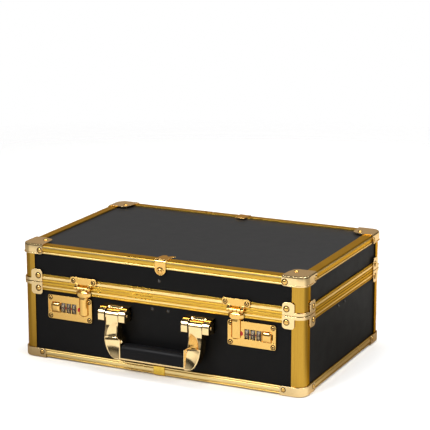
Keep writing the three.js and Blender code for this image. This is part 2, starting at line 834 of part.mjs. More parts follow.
// ---- long hinge at the back ----
function hingeLeaf(forLid) {
  const length = hingeLength / knuckleCount;
  const leafBack = halfY + 0.5;
  const leafFront = leafBack + 1.4;
  const far = forLid ? seamHeight + 9.6 : seamHeight - 10.2;
  const near = forLid ? seamHeight + 3.6 : seamHeight - 3.6;
  const low = Math.min(far, near);
  const high = Math.max(far, near);
  const pieces = [block(-hingeLength / 2, hingeLength / 2, leafBack, leafFront, low, high)];
  for (let i = 0; i < knuckleCount; i++) {
    if ((i % 2 === 1) !== forLid) continue;
    const x0 = -hingeLength / 2 + i * length + (i === 0 ? 0 : 0.2);
    const x1 = -hingeLength / 2 + (i + 1) * length - (i === knuckleCount - 1 ? 0 : 0.2);
    pieces.push(alongX(disc(knuckleRadius, hingeY, seamHeight), x0, x1, 4));
    pieces.push(
      block(x0, x1, leafBack, leafFront, Math.min(near, seamHeight), Math.max(near, seamHeight)),
    );
  }
  const leaf = union(pieces);
  if (forLid) {
    return leaf.subtract(alongX(disc(1.7, hingeY, seamHeight), -hingeLength, hingeLength, 4));
  }
  return leaf.add(alongX(disc(1.3, hingeY, seamHeight), -hingeLength / 2 + 1, hingeLength / 2 - 1, 4));
}

function addHinge() {
  addPiece("hinge_base_leaf", "gold", hingeLeaf(false));
  addPiece("hinge_lid_leaf", "gold", hingeLeaf(true));
}

// ---- inside ----
const trayX = 188.6;
const trayFront = -115.4;
const trayBack = 121.6;
const trayMiddleY = (trayFront + trayBack) / 2;
const traySkin = 2;
const bankStart = 52;
const wellWidth = 68;

function channel(x0, x1, y, radius) {
  const shape = new THREE.Shape();
  shape.moveTo(y - radius, trayTop + 1);
  shape.lineTo(y - radius, trayTop);
  shape.absarc(y, trayTop, radius, Math.PI, 2 * Math.PI, false);
  shape.lineTo(y + radius, trayTop + 1);
  return alongX(shape, x0, x1, 6);
}

function chipTray() {
  const inside = railBottom + railWall + gap + panelThickness + gap;
  const shell = block(-trayX, trayX, trayFront, trayBack, inside, trayTop);
  const hollows = [];
  const skins = [];
  for (const side of [-1, 1]) {
    for (let row = -2; row <= 2; row++) {
      const y = trayMiddleY + row * channelPitch;
      const ends = [side * bankStart, side * (bankStart + channelLength)].sort((a, b) => a - b);
      hollows.push(channel(ends[0], ends[1], y, channelRadius));
      skins.push(channel(ends[0] - traySkin, ends[1] + traySkin, y, channelRadius + traySkin));
    }
  }
  const wells = [
    [trayMiddleY - 108, trayMiddleY - 14],
    [trayMiddleY - 11, trayMiddleY + 11],
    [trayMiddleY + 14, trayMiddleY + 108],
  ];
  for (const [y0, y1] of wells) {
    const depth = 19;
    const half = wellWidth / 2;
    hollows.push(block(-half, half, y0, y1, trayTop - depth, trayTop + 1));
    skins.push(
      block(-half - 1.4, half + 1.4, y0 - 1.4, y1 + 1.4, trayTop - depth - traySkin, trayTop + 1),
    );
  }
  const under = block(
    -trayX + traySkin,
    trayX - traySkin,
    trayFront + traySkin,
    trayBack - traySkin,
    inside - 1,
    trayTop - traySkin,
  );
  return shell.subtract(under.subtract(union(skins))).subtract(union(hollows));
}

function addInside() {
  addPiece("chip_tray", "flock", chipTray());
  const linerHigh = railTop - railWall - gap - panelThickness - gap;
  const liner = roundedRectangle(-186, 186, -120, 120, 4);
  addPiece("lid_foam_liner", "foam", raised(liner, linerHigh - 14, linerHigh, 2));
}

addRails();
addPanels();
addPosts();
addCaps();
addSeamBrackets();
addLatches();
addHandle();
addHinge();
addInside();

export default object;
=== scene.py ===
import math
import random

import bmesh
import bpy
from mathutils import Matrix, Vector


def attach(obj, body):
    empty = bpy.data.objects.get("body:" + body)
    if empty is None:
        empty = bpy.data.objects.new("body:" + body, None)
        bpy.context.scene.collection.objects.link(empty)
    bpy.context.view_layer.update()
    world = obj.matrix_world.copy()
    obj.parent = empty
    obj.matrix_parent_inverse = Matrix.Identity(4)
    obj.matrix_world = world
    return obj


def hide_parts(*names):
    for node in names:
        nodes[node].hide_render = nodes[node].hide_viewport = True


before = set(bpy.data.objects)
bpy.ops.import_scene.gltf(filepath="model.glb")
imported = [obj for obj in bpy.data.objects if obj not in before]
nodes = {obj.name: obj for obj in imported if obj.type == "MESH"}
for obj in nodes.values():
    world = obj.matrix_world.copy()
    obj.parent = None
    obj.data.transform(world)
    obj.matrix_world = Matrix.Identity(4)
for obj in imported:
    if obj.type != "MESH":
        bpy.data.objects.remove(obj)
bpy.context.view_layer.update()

mm = 0.001
caseY = 7.25  # the case's middle, in front-to-back millimetres of the frame
random.seed(7)
print("frame loaded:", len(nodes), "nodes")


def addNode(tree, kind, inputs=None, **settings):
    made = tree.nodes.new("ShaderNode" + kind)
    for key, value in settings.items():
        setattr(made, key, value)
    for key, value in (inputs or {}).items():
        if isinstance(value, bpy.types.NodeSocket):
            tree.links.new(value, made.inputs[key])
        else:
            made.inputs[key].default_value = value
    return made


def newGroup(name, inputs, outputs):
    group = bpy.data.node_groups.new(name, "ShaderNodeTree")
    for label, kind, value in inputs:
        socket = group.interface.new_socket(label, in_out="INPUT", socket_type="NodeSocket" + kind)
        socket.default_value = value
    for label, kind in outputs:
        group.interface.new_socket(label, in_out="OUTPUT", socket_type="NodeSocket" + kind)
    return group, group.nodes.new("NodeGroupInput"), group.nodes.new("NodeGroupOutput")


def objectPoint(tree, stretch):
    place = addNode(tree, "TexCoord")
    return addNode(tree, "Mapping", {"Vector": place.outputs["Object"], "Scale": stretch}).outputs[0]


def blendColour(tree, factor, first, second):
    mix = addNode(tree, "Mix", data_type="RGBA")
    for index, value in ((0, factor), (6, first), (7, second)):
        if isinstance(value, bpy.types.NodeSocket):
            tree.links.new(value, mix.inputs[index])
        else:
            mix.inputs[index].default_value = value
    return mix.outputs[2]


def spread(tree, value, low, high, outLow=0.0, outHigh=1.0):
    inputs = {0: value, 1: low, 2: high, 3: outLow, 4: outHigh}
    return addNode(tree, "MapRange", inputs).outputs[0]


def makeEdgeWear():
    group, given, out = newGroup(
        "edgeWear",
        [("Radius", "Float", 0.0006), ("Amount", "Float", 1.0), ("Breakup", "Float", 300.0)],
        [("Mask", "Float")],
    )
    bevel = addNode(group, "Bevel", {"Radius": given.outputs["Radius"]}, samples=4)
    flat = addNode(group, "NewGeometry")
    normals = {0: bevel.outputs[0], 1: flat.outputs["Normal"]}
    dot = addNode(group, "VectorMath", normals, operation="DOT_PRODUCT")
    edge = spread(group, dot.outputs["Value"], 0.985, 0.86)
    place = objectPoint(group, (1, 1, 1))
    noise = addNode(group, "TexNoise", {"Vector": place, "Scale": given.outputs["Breakup"], "Detail": 4.0})
    rough = spread(group, noise.outputs[0], 0.35, 0.65)
    worn = addNode(group, "Math", {0: edge, 1: rough}, operation="MULTIPLY")
    amounts = {0: worn.outputs[0], 1: given.outputs["Amount"]}
    mask = addNode(group, "Math", amounts, operation="MULTIPLY", use_clamp=True)
    group.links.new(mask.outputs[0], out.inputs["Mask"])
    return group


def makeDrawnGrain():
    group, given, out = newGroup(
        "drawnGrain",
        [("Stretch", "Vector", (1.0, 1.0, 1.0)), ("Scale", "Float", 400.0), ("Smudge", "Float", 18.0)],
        [("Grain", "Float"), ("Smudge", "Float")],
    )
    place = addNode(group, "TexCoord")
    point = place.outputs["Object"]
    shaped = addNode(group, "VectorMath", {0: point, 1: given.outputs["Stretch"]}, operation="MULTIPLY")
    fine = {"Vector": shaped.outputs[0], "Scale": given.outputs["Scale"], "Detail": 5.0, "Roughness": 0.65}
    grain = addNode(group, "TexNoise", fine)
    smudge = addNode(group, "TexNoise", {"Vector": point, "Scale": given.outputs["Smudge"], "Detail": 3.0})
    group.links.new(spread(group, grain.outputs[0], 0.3, 0.7), out.inputs["Grain"])
    group.links.new(spread(group, smudge.outputs[0], 0.35, 0.68), out.inputs["Smudge"])
    return group


def makeDust():
    group, given, out = newGroup(
        "settledDust",
        [("Amount", "Float", 0.1), ("Scale", "Float", 900.0)],
        [("Mask", "Float")],
    )
    flat = addNode(group, "NewGeometry")
    up = addNode(group, "SeparateXYZ", {0: flat.outputs["Normal"]})
    facing = spread(group, up.outputs[2], 0.5, 1.0)
    place = objectPoint(group, (1, 1, 1))
    speck = addNode(group, "TexNoise", {"Vector": place, "Scale": given.outputs["Scale"], "Detail": 2.0})
    cloud = addNode(group, "TexNoise", {"Vector": place, "Scale": 9.0, "Detail": 3.0})
    specks = spread(group, speck.outputs[0], 0.56, 0.7)
    clouds = spread(group, cloud.outputs[0], 0.4, 0.7)
    both = addNode(group, "Math", {0: specks, 1: clouds}, operation="MULTIPLY")
    lying = addNode(group, "Math", {0: both.outputs[0], 1: facing}, operation="MULTIPLY")
    mask = addNode(group, "Math", {0: lying.outputs[0], 1: given.outputs["Amount"]}, operation="MULTIPLY")
    group.links.new(mask.outputs[0], out.inputs["Mask"])
    return group


def makePebble():
    group, given, out = newGroup(
        "pebbleGrain",
        [("Scale", "Float", 900.0), ("Depth", "Float", 1.0)],
        [("Height", "Float"), ("Tone", "Float")],
    )
    place = objectPoint(group, (1, 1, 1))
    pitch = given.outputs["Scale"]
    cells = addNode(group, "TexVoronoi", {"Vector": place, "Scale": pitch}, feature="SMOOTH_F1")
    soft = addNode(group, "TexNoise", {"Vector": place, "Scale": 60.0, "Detail": 4.0})
    depths = {0: cells.outputs["Distance"], 1: given.outputs["Depth"]}
    height = addNode(group, "Math", depths, operation="MULTIPLY")
    group.links.new(height.outputs[0], out.inputs["Height"])
    group.links.new(soft.outputs[0], out.inputs["Tone"])
    return group


edgeWear = makeEdgeWear()
drawnGrain = makeDrawnGrain()
settledDust = makeDust()
pebbleGrain = makePebble()


def useGroup(tree, group, inputs):
    made = tree.nodes.new("ShaderNodeGroup")
    made.node_tree = group
    for key, value in inputs.items():
        made.inputs[key].default_value = value
    return made


def startMaterial(name, constants):
    material = bpy.data.materials.new(name)
    material.use_nodes = True
    surface = material.node_tree.nodes["Principled BSDF"]
    for key, value in constants.items():
        surface.inputs[key].default_value = value
    return material, material.node_tree, surface


# A line at one height, faded to both sides: the dark grooves along a drawn rail, and the painted highlights
# along its crowns.
def makeGrooves():
    group, given, out = newGroup(
        "grooveAndHighlightLine",
        [("Height", "Float", 0.1), ("Half", "Float", 0.0005), ("Before", "Float", 0.0)],
        [("Mask", "Float")],
    )
    place = addNode(group, "TexCoord")
    parts = addNode(group, "SeparateXYZ", {0: place.outputs["Object"]})
    offset = addNode(group, "Math", {0: parts.outputs[2], 1: given.outputs["Height"]}, operation="SUBTRACT")
    apart = addNode(group, "Math", {0: offset.outputs[0]}, operation="ABSOLUTE")
    near = addNode(group, "MapRange", {0: apart.outputs[0], 2: given.outputs["Half"], 3: 1.0, 4: 0.0})
    joined = addNode(group, "Math", {0: near.outputs[0], 1: given.outputs["Before"]}, operation="MAXIMUM")
    group.links.new(joined.outputs[0], out.inputs["Mask"])
    return group


grooveAndHighlightLine = makeGrooves()


metalDust = 0.05


# A coloured metal: drawn or cast grain, slow smudges in the polish, paler worn edges.
def metalMaterial(name, look):
    constants = {"Metallic": 1.0, "Specular Tint": (*look["grazing"], 1)}
    material, tree, surface = startMaterial(name, constants)
    drawn = {"Stretch": look["stretch"], "Scale": look["scale"], "Smudge": look["smudge"]}
    grain = useGroup(tree, drawnGrain, drawn)
    wear = useGroup(tree, edgeWear, {"Radius": look["wearRadius"], "Amount": look["wear"]})
    dust = useGroup(tree, settledDust, {"Amount": metalDust})
    tone = blendColour(tree, grain.outputs["Grain"], (*look["dark"], 1), (*look["tint"], 1))
    # Dark groove lines, then painted highlight lines: bright colour along the rails' crowns, standing in for
    # light caught on their rounded edges.
    for lines, lineTone in ((look.get("paintedHighlights", ()), "paintedHighlightTone"), (look.get("grooves", ()), "grooveTone")):
        joined = None
        for height, half in lines:
            line = useGroup(tree, grooveAndHighlightLine, {"Height": height * mm, "Half": half * mm})
            if joined:
                tree.links.new(joined, line.inputs["Before"])
            joined = line.outputs["Mask"]
        if joined:
            tone = blendColour(tree, joined, tone, (*look[lineTone], 1))
    worn = blendColour(tree, wear.outputs["Mask"], tone, (*look["edge"], 1))
    dusty = blendColour(tree, dust.outputs["Mask"], worn, (0.6, 0.55, 0.48, 1))
    tree.links.new(dusty, surface.inputs["Base Color"])
    low, high = look["roughness"]
    polish = spread(tree, grain.outputs["Smudge"], 0.0, 1.0, low, high)
    tree.links.new(polish, surface.inputs["Roughness"])
    height = {"Strength": look["bump"], "Distance": 0.0002, "Height": grain.outputs["Grain"]}
    bump = addNode(tree, "Bump", height)
    tree.links.new(bump.outputs[0], surface.inputs["Normal"])
    return material


# A dark moulded or laminated surface with a pebbled grain.
def darkMaterial(name, look):
    constants = {"Specular IOR Level": look["specular"], "Sheen Weight": look.get("sheen", 0.0)}
    material, tree, surface = startMaterial(name, constants)
    pebble = useGroup(tree, pebbleGrain, {"Scale": look["scale"], "Depth": 1.0})
    wear = useGroup(tree, edgeWear, {"Radius": look["wearRadius"], "Amount": look["wear"]})
    dust = useGroup(tree, settledDust, {"Amount": look["dust"]})
    tone = blendColour(tree, pebble.outputs["Tone"], (*look["dark"], 1), (*look["tint"], 1))
    worn = blendColour(tree, wear.outputs["Mask"], tone, (*look["edge"], 1))
    dusty = blendColour(tree, dust.outputs["Mask"], worn, (0.3, 0.29, 0.28, 1))
    tree.links.new(dusty, surface.inputs["Base Color"])
    low, high = look["roughness"]
    tree.links.new(spread(tree, pebble.outputs["Tone"], 0.3, 0.7, low, high), surface.inputs["Roughness"])
    height = {"Strength": look["bump"], "Distance": 0.0003, "Height": pebble.outputs["Height"]}
    bump = addNode(tree, "Bump", height)
    tree.links.new(bump.outputs[0], surface.inputs["Normal"])
    return material


# Heights of the grooves in the rails, and of the painted highlights along their crowns with half of each
# one's width: bright lines standing in for light caught on the rounded edges.
railGrooves = (3.6, 9.8, 12.2, 92.9, 95.1, 99.7, 103.6, 107.1, 111.6, 141.4, 144.2, 152.0)
railPaintedHighlights = ((1.6, 2.0), (6.7, 4.2), (11.0, 1.2), (109.4, 2.6), (97.4, 1.2), (142.8, 1.2), (150.4, 1.2))
metalLooks = {
    "railGold": {
        "tint": (0.68, 0.42, 0.062), "dark": (0.6, 0.36, 0.05), "edge": (0.9, 0.66, 0.25),
        "stretch": (0.02, 0.02, 1.0), "scale": 900.0, "smudge": 20.0,
        "roughness": (0.27, 0.32), "wearRadius": 0.0004, "wear": 0.1, "bump": 0.0006,
        "grazing": (1.0, 0.66, 0.4),
        "grooves": [(z, 0.8) for z in railGrooves],
        "grooveTone": (0.26, 0.135, 0.016),
        "paintedHighlights": railPaintedHighlights,
        "paintedHighlightTone": (0.98, 0.8, 0.4),
    },
    "postGold": {
        "tint": (0.52, 0.312, 0.047), "dark": (0.44, 0.25, 0.035), "edge": (0.9, 0.66, 0.25),
        "stretch": (1.0, 1.0, 0.03), "scale": 900.0, "smudge": 20.0,
        "roughness": (0.1, 0.18), "wearRadius": 0.0004, "wear": 0.12, "bump": 0.006,
        "grazing": (1.0, 0.62, 0.36),
    },
    "handleGold": {
        "tint": (0.88, 0.69, 0.38), "dark": (0.8, 0.6, 0.3), "edge": (1.0, 0.88, 0.66),
        "stretch": (1.0, 1.0, 1.0), "scale": 500.0, "smudge": 30.0,
        "roughness": (0.06, 0.12), "wearRadius": 0.0004, "wear": 0.2, "bump": 0.004,
        "grazing": (1.0, 0.72, 0.5),
    },
    "clipGold": {
        "tint": (0.92, 0.66, 0.12), "dark": (0.84, 0.55, 0.08), "edge": (1.0, 0.82, 0.4),
        "stretch": (1.0, 1.0, 1.0), "scale": 500.0, "smudge": 30.0,
        "roughness": (0.16, 0.26), "wearRadius": 0.0005, "wear": 0.5, "bump": 0.03,
        "grazing": (1.0, 0.7, 0.45),
    },
    "plateGold": {
        "tint": (0.8, 0.52, 0.165), "dark": (0.71, 0.43, 0.12), "edge": (1.0, 0.84, 0.5),
        "stretch": (1.0, 1.0, 1.0), "scale": 700.0, "smudge": 40.0,
        "roughness": (0.09, 0.16), "wearRadius": 0.0004, "wear": 0.35, "bump": 0.006,
        "grazing": (1.0, 0.68, 0.45),
    },
    "capGold": {
        "tint": (0.88, 0.68, 0.37), "dark": (0.82, 0.61, 0.3), "edge": (1.0, 0.88, 0.66),
        "stretch": (1.0, 1.0, 1.0), "scale": 700.0, "smudge": 40.0,
        "roughness": (0.08, 0.15), "wearRadius": 0.0004, "wear": 0.35, "bump": 0.006,
        "grazing": (1.0, 0.78, 0.6),
    },
}
darkLooks = {
    "frontPanel": {
        "tint": (0.006, 0.006, 0.0064), "dark": (0.004, 0.004, 0.0042), "edge": (0.02, 0.02, 0.02),
        "specular": 0.09, "scale": 1100.0, "roughness": (0.46, 0.52), "bump": 0.2,
        "wearRadius": 0.0006, "wear": 0.2, "dust": 0.02,
    },
    "topPanel": {
        "tint": (0.013, 0.013, 0.0135), "dark": (0.011, 0.011, 0.0115), "edge": (0.02, 0.02, 0.02),
        "specular": 0.16, "scale": 1300.0, "roughness": (0.43, 0.46), "bump": 0.05,
        "wearRadius": 0.0006, "wear": 0.2, "dust": 0.03,
    },
    "gripBlack": {
        "tint": (0.007, 0.007, 0.008), "dark": (0.005, 0.005, 0.0055), "edge": (0.02, 0.02, 0.02),
        "specular": 0.08, "scale": 1500.0, "roughness": (0.34, 0.44), "bump": 0.1,
        "wearRadius": 0.0008, "wear": 0.2, "dust": 0.03,
    },
    "dialBlack": {
        "tint": (0.06, 0.034, 0.014), "dark": (0.03, 0.018, 0.009), "edge": (0.3, 0.24, 0.16),
        "specular": 0.5, "scale": 1500.0, "roughness": (0.28, 0.4), "bump": 0.05,
        "wearRadius": 0.0004, "wear": 0.6, "dust": 0.03,
    },
    # Painted shadow: near-black colour for the rings round rivet and screw heads and for the screws' slots.
    "paintedShadow": {
        "tint": (0.02, 0.012, 0.005), "dark": (0.01, 0.006, 0.003), "edge": (0.05, 0.03, 0.012),
        "specular": 0.15, "scale": 1500.0, "roughness": (0.4, 0.5), "bump": 0.03,
        "wearRadius": 0.0003, "wear": 0.2, "dust": 0.02,
    },
    "rivetBlack": {
        "tint": (0.004, 0.004, 0.004), "dark": (0.002, 0.002, 0.002), "edge": (0.01, 0.01, 0.01),
        "specular": 0.8, "scale": 1500.0, "roughness": (0.12, 0.16), "bump": 0.03,
        "wearRadius": 0.0004, "wear": 0.3, "dust": 0.02,
    },
    "digitCream": {
        "tint": (0.6, 0.46, 0.27), "dark": (0.48, 0.35, 0.2), "edge": (0.7, 0.66, 0.55),
        "specular": 0.4, "scale": 1500.0, "roughness": (0.4, 0.5), "bump": 0.03,
        "wearRadius": 0.0003, "wear": 0.3, "dust": 0.02,
    },
    "markRed": {
        "tint": (0.5, 0.012, 0.008), "dark": (0.3, 0.006, 0.004), "edge": (0.6, 0.05, 0.03),
        "specular": 0.5, "scale": 1500.0, "roughness": (0.25, 0.35), "bump": 0.03,
        "wearRadius": 0.0003, "wear": 0.3, "dust": 0.02,
    },
    "foamGrey": {
        "tint": (0.03, 0.03, 0.033), "dark": (0.016, 0.016, 0.018), "edge": (0.045, 0.045, 0.05),
        "specular": 0.1, "scale": 1400.0, "roughness": (0.9, 1.0), "bump": 0.8, "sheen": 0.25,
        "wearRadius": 0.0008, "wear": 0.3, "dust": 0.03,
    },
    "flock": {
        "tint": (0.016, 0.016, 0.018), "dark": (0.008, 0.008, 0.009), "edge": (0.03, 0.03, 0.034),
        "specular": 0.1, "scale": 2600.0, "roughness": (0.85, 0.98), "bump": 0.6, "sheen": 0.35,
        "wearRadius": 0.0008, "wear": 0.4, "dust": 0.04,
    },
}
materials = {name: metalMaterial(name, look) for name, look in metalLooks.items()}
materials.update({name: darkMaterial(name, look) for name, look in darkLooks.items()})
print("materials made:", len(materials))


def makeTidyMesh():
    tree = bpy.data.node_groups.new("tidyMesh", "GeometryNodeTree")
    tree.interface.new_socket("Geometry", in_out="INPUT", socket_type="NodeSocketGeometry")
    tree.interface.new_socket("Geometry", in_out="OUTPUT", socket_type="NodeSocketGeometry")
    start, end = tree.nodes.new("NodeGroupInput"), tree.nodes.new("NodeGroupOutput")
    bare = tree.nodes.new("GeometryNodeRemoveAttribute")
    bare.inputs["Name"].default_value = "custom_normal"
    merge = tree.nodes.new("GeometryNodeMergeByDistance")
    merge.inputs["Distance"].default_value = 0.00001
    smooth = tree.nodes.new("GeometryNodeSetShadeSmooth")
    for first, second in ((start, bare), (bare, merge), (merge, smooth), (smooth, end)):
        tree.links.new(first.outputs[0], second.inputs[0])
    return tree


tidyMesh = makeTidyMesh()


def softenEdges(obj, width, segments=2, angle=28):
    tidy = obj.modifiers.new("tidy", "NODES")
    tidy.node_group = tidyMesh
    flatten = obj.modifiers.new("flatten", "DECIMATE")
    flatten.decimate_type = "DISSOLVE"
    flatten.angle_limit = math.radians(0.4)
    bevel = obj.modifiers.new("bevel", "BEVEL")
    bevel.width = width * mm
    bevel.segments = segments
    bevel.limit_method = "ANGLE"
    bevel.angle_limit = math.radians(angle)
    bevel.harden_normals = False
    weigh = obj.modifiers.new("weigh", "WEIGHTED_NORMAL")
    weigh.weight = 90
    weigh.keep_sharp = False


def dress(names, material, width, segments=2):
    for name in names:
        obj = nodes[name]
        obj.data.materials.clear()
        obj.data.materials.append(materials[material])
        if width:
            softenEdges(obj, width, segments)


def named(*starts):
    return [name for name in nodes if name.startswith(starts)]


dress(named("base_bottom_rail", "base_rim_rail", "lid_rim_rail", "lid_top_rail"), "railGold", 0.2)
dress(named("base_post", "lid_post"), "postGold", 0.25)
dress(named("top_cap", "bottom_cap", "lid_bracket", "base_bracket"), "capGold", 0.35, 3)
dress(named("latch_plate", "latch_button", "hasp", "handle_mount", "handle_frame"), "plateGold", 0.3, 3)
dress(named("hinge"), "postGold", 0.2)
dress(["lid_top_panel", "base_floor_panel"], "topPanel", 0.3)
sides = ("front", "back", "left", "right")
walls = ["%s_%s_panel" % (half, side) for half in ("base", "lid") for side in sides]
dress(walls, "frontPanel", 0.3)
dress(["handle_grip"], "gripBlack", 0.8, 3)
dress(named("dial"), "gripBlack", 0.3)
dress(["lid_foam_liner"], "flock", 0.5)
dress(["chip_tray"], "flock", 0.0)
print("frame dressed")


caseCorner = Vector((199.6, 132.9))  # rails' outer faces, from the case's middle
panelFace = -123.55  # the front panels' outer face
plateFace = -126.55  # the lock plates' outer face
pin = Vector((0, -135.25, 76.4))  # the handle's pin
armCentre = 59.1


def addObject(name, build, material, body, sharp=35):
    bmesh.ops.recalc_face_normals(build, faces=build.faces)
    mesh = bpy.data.meshes.new(name)
    build.to_mesh(mesh)
    build.free()
    mesh.polygons.foreach_set("use_smooth", [True] * len(mesh.polygons))
    mesh.set_sharp_from_angle(angle=math.radians(sharp))
    mesh.materials.append(materials[material])
    obj = bpy.data.objects.new(name, mesh)
    bpy.context.scene.collection.objects.link(obj)
    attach(obj, body)
    return obj


def roundEdges(obj, width, segments=3, angle=30):
    bevel = obj.modifiers.new("round", "BEVEL")
    bevel.width = width * mm
    bevel.segments = segments
    bevel.limit_method = "ANGLE"
    bevel.angle_limit = math.radians(angle)
    weigh = obj.modifiers.new("weigh", "WEIGHTED_NORMAL")
    weigh.weight = 90
    return obj


def loft(build, rings):
    rows = [[build.verts.new(Vector(point) * mm) for point in ring] for ring in rings]
    for near, far in zip(rows, rows[1:]):
        for i in range(len(near)):
            j = (i + 1) % len(near)
            build.faces.new((near[i], near[j], far[j], far[i]))
    build.faces.new(rows[0])
    build.faces.new(rows[-1])


# A turned shape: (radius, height) pairs from the rim to the crown, standing on place along axis.
def turn(build, profile, place, axis, steps=24):
    side = Vector(axis).orthogonal().normalized()
    other = Vector(axis).cross(side)
    angles = [2 * math.pi * i / steps for i in range(steps)]
    loft(
        build,
        [
            [
                Vector(place) + (side * math.cos(a) + other * math.sin(a)) * radius + Vector(axis) * height
                for a in angles
            ]
            for radius, height in profile
        ],
    )


def prism(build, outline, low, high, toPoint):
    loft(build, [[toPoint(u, v, w) for u, v in outline] for w in (low, high)])


def arc(centreU, centreV, radius, start, end, steps):
    angles = [math.radians(start + (end - start) * i / steps) for i in range(steps + 1)]
    return [(centreU + radius * math.cos(a), centreV + radius * math.sin(a)) for a in angles]


def smoothStep(low, high, value):
    t = min(max((value - low) / (high - low), 0), 1)
    return t * t * (3 - 2 * t)


# The handle: two dished arms, a bar under the grip, and the mounts on the front.
handle = {
    "armHalf": 8.9,
    "lipWidth": 1.3,
    "dishDepth": 6.6,
    "capDepth": 5.2,
    "dishLow": 48.8,
    "dishCentre": (50.6, 49.0),
    "dishHalf": (15.2, 20.0),
    "bend": (49.3, 52.2, 18.7, 32.0),  # centre and half axes of the rounded lower corner
    "endCap": 45.0,
    "bottom": 20.2,
    "rows": 112,
    "columns": 40,
}


def armSpan(z):
    x, top, halfX, halfZ = handle["bend"]
    outer = x + halfX * math.sqrt(max(1 - (max(top - z, 0) / halfZ) ** 2, 0.0))
    straight = armCentre - handle["armHalf"]
    inner = straight - (straight - handle["endCap"]) * smoothStep(50.5, 46.5, z)
    return inner, max(outer, inner + 1.5)


def armFront(x, z):
    plane = pin.y - 7.0 - 4.6 * smoothStep(68, 43, z)
    inner, outer = armSpan(z)
    dishX, dishZ = handle["dishCentre"]
    halfX, halfZ = handle["dishHalf"]
    bendX, bendZ, bendHalfX, bendHalfZ = handle["bend"]
    inDish = 1 - math.hypot((x - dishX) / halfX, max(z - dishZ, 0) / halfZ)
    inCap = 1 - math.hypot((x - bendX) / bendHalfX, max(bendZ - z, 0) / bendHalfZ)
    bowl = lambda inside: 1 - (1 - min(max(inside, 0), 1)) ** 2
    upper = smoothStep(handle["dishLow"] - 0.7, handle["dishLow"] + 0.7, z)
    sunk = handle["dishDepth"] * bowl(inDish) * upper + handle["capDepth"] * bowl(inCap) * (1 - upper)
    lip = smoothStep(inner + handle["lipWidth"], inner + handle["lipWidth"] + 0.7, x)
    edge = 0.9 * (1 - smoothStep(0, 1.3, outer - x)) + 0.5 * (1 - smoothStep(0, 0.6, x - inner))
    return plane + sunk * lip + edge


def addHandleFrame():
    build = bmesh.new()
    bottom, top = handle["bottom"], pin.z
    for side in (-1, 1):
        rings = []
        for i in range(handle["rows"] + 1):
            z = bottom + (top - bottom) * i / handle["rows"]
            inner, outer = armSpan(z)
            xs = [inner + (outer - inner) * j / handle["columns"] for j in range(handle["columns"] + 1)]
            back = pin.y + 5 - 3 * smoothStep(60, 70, z)
            rounding = 1.4 * (1 - smoothStep(0, 2.0, z - bottom))
            front = [(side * x, armFront(x, z) + rounding, z) for x in xs]
            rings.append(front + [(side * outer, back, z), (side * inner, back, z)])
        loft(build, rings)
        # the barrel round the pin, stepped back behind the arm's top edge
        ends = (side * (armCentre - handle["armHalf"]), side * (armCentre + handle["armHalf"]))
        barrel = [(u, v) for u, v in arc(pin.y, pin.z, 7.0, 0, 350, 35)]
        prism(build, barrel, *ends, lambda y, z, x: (x, y, z))
        # a small lug on each end cap, above the grip
        lug = Vector((side * (handle["endCap"] + 0.6), pin.y - 7.6, 43.6))
        turn(build, [(2.5, -2.6), (2.7, -0.8), (2.4, 0.6), (1.5, 1.5), (0.5, 1.8)], lug, (0, -1, 0), 20)
    bar = [(pin.y + 3.8, 23.5), (pin.y - 10.8, 23.5), (pin.y - 11.0, 22.7), (pin.y - 10.4, 21.4)]
    bar += [(pin.y - 8.6, 20.5), (pin.y - 5.0, bottom), (pin.y + 2.4, bottom), (pin.y + 3.8, 21.2)]
    prism(build, bar, -handle["endCap"] - 1, handle["endCap"] + 1, lambda y, z, x: (x, y, z))
    obj = addObject("handle_frame_cast", build, "handleGold", "handle", 40)
    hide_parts("handle_frame")


grip = {"swell": 0.7, "stations": 60, "end": 44.6}


def gripSection(swell):
    front, back, low, high = pin.y - 11.0 - swell, pin.y + 5.2, 23.8, 41.0 + swell
    points = arc(back - 3, low + 3, 3, -90, 0, 5) + arc(back - 7, high - 7, 7, 0, 90, 9)
    points += arc(front + 7.5, high - 7.5, 7.5, 90, 180, 10) + arc(front + 1.6, low + 1.6, 1.6, 180, 270, 4)
    return points


def addGrip():
    build = bmesh.new()
    rings = []
    for i in range(grip["stations"] + 1):
        x = grip["end"] * (2 * i / grip["stations"] - 1)
        along = abs(x) / grip["end"]
        collar = 0.55 * (smoothStep(0.93, 0.945, along) - smoothStep(0.905, 0.92, along))
        tuck = 0.8 * smoothStep(0.97, 1.0, along)
        swell = grip["swell"] * (1 - along**2) + collar - tuck
        rings.append([(x, y, z) for y, z in gripSection(swell)])
    loft(build, rings)
    obj = addObject("handle_grip_moulded", build, "gripBlack", "handle", 50)
    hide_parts("handle_grip")


mount = {"earInner": 10.3, "earOuter": 19.1, "roofBack": 87.2, "roofFront": 86.0, "low": 67.2, "lipHalf": 8.4}


